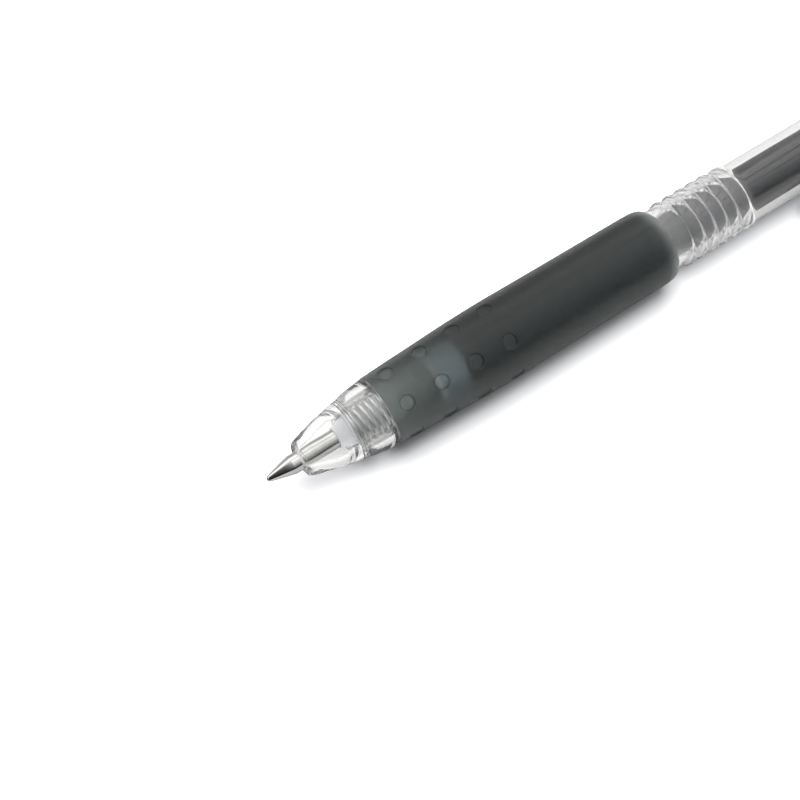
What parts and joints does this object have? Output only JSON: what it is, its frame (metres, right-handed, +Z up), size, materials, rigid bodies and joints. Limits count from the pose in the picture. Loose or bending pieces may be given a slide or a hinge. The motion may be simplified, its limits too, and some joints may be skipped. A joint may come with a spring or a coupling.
{
  "type": "retractable gel pen",
  "caption": "Click gel pen with clear screw-on nose, clear ribbed barrel, smoke-grey rubber grip with round recesses, ball-point refill and hinged sprung clip.",
  "frame": {"origin": "centre of the push button's flat end face, on the pen's axis, with the point out", "axes": "+X along the pen's axis from the point to the button, +Z up with the pen lying on its grip and collar, clip towards -Y"},
  "size_m": [0.142, 0.0151, 0.0113],
  "materials": {
    "clear_nose_plastic": "moulded clear plastic, glossy",
    "clear_plastic": "moulded clear plastic, glossy",
    "smoke_rubber": "translucent smoke-grey rubber, satin",
    "ball_carbide": "ground",
    "point_steel": "turned, bright",
    "milky_plastic": "milky, translucent",
    "valve_steel": "ground",
    "tube_plastic": "clear extruded plastic",
    "black_ink": "wet gel",
    "follower_grease": "clear grease",
    "plug_plastic": "moulded",
    "spring_steel": "drawn wire",
    "guide_plastic": "moulded",
    "rotor_plastic": "moulded",
    "plunger_plastic": "moulded",
    "button_plastic": "glossy moulded",
    "collar_plastic": "glossy moulded",
    "clip_plastic": "glossy moulded",
    "pin_steel": "drawn wire",
    "clip_spring_steel": "drawn wire"
  },
  "bodies": {
    "body": {"barrel": "clear_plastic", "grip_sleeve": "smoke_rubber", "guide_sleeve": "guide_plastic", "rear_collar": "collar_plastic", "clip_pin": "pin_steel", "clip_spring": "clip_spring_steel"},
    "spring": {"return_spring": "spring_steel"},
    "nose": {"nose_cone": "clear_nose_plastic"},
    "button": {"push_button": "button_plastic", "thrust_plunger": "plunger_plastic"},
    "rotor": {"rotor_cam": "rotor_plastic"},
    "refill": {"tip_point": "point_steel", "tip_holder": "milky_plastic", "check_ball": "valve_steel", "ink_tube": "tube_plastic", "ink_column": "black_ink", "ink_follower": "follower_grease", "tail_plug": "plug_plastic"},
    "ball": {"tip_ball": "ball_carbide"},
    "clip": {"clip_lever": "clip_plastic"}
  },
  "joints": [
    {"name": "click_slide", "type": "slide", "parent": "body", "child": "button", "axis": [1, 0, 0], "range_m": [-0.001, 0.006], "deforming": ["return_spring"]},
    {"name": "rotor_slide", "type": "slide", "parent": "body", "child": "rotor", "axis": [1, 0, 0], "range_m": [-0.001, 0.006], "deforming": ["return_spring"]},
    {"name": "refill_slide", "type": "slide", "parent": "body", "child": "refill", "axis": [1, 0, 0], "range_m": [-0.001, 0.006], "deforming": ["return_spring"]},
    {"name": "ball_roll", "type": "hinge", "parent": "refill", "child": "ball", "pos_m": [-0.14165, 0, 0], "axis": [0, 1, 0], "continuous": true},
    {"name": "nose_advance", "type": "slide", "parent": "body", "child": "spring", "axis": [-1, 0, 0], "range_m": [0, 0.0055], "deforming": ["return_spring"]},
    {"name": "nose_unscrew", "type": "hinge", "parent": "spring", "child": "nose", "pos_m": [-0.1297, 0, 0], "axis": [-1, 0, 0], "range_deg": [0, 2160]},
    {"name": "clip_open", "type": "hinge", "parent": "body", "child": "clip", "pos_m": [-0.0205, -0.00706, -0.00236], "axis": [0, -0.3174, 0.9483], "range_deg": [0, 10], "stiffness_Nm_per_rad": 0.02, "deforming": ["clip_spring"]}
  ],
  "couplings": [
    {"joint": "rotor_slide", "follows": "click_slide", "ratio": 1},
    {"joint": "refill_slide", "follows": "click_slide", "ratio": 1},
    {"joint": "nose_unscrew", "follows": "nose_advance", "rad_per_m": 6829.5}
  ]
}
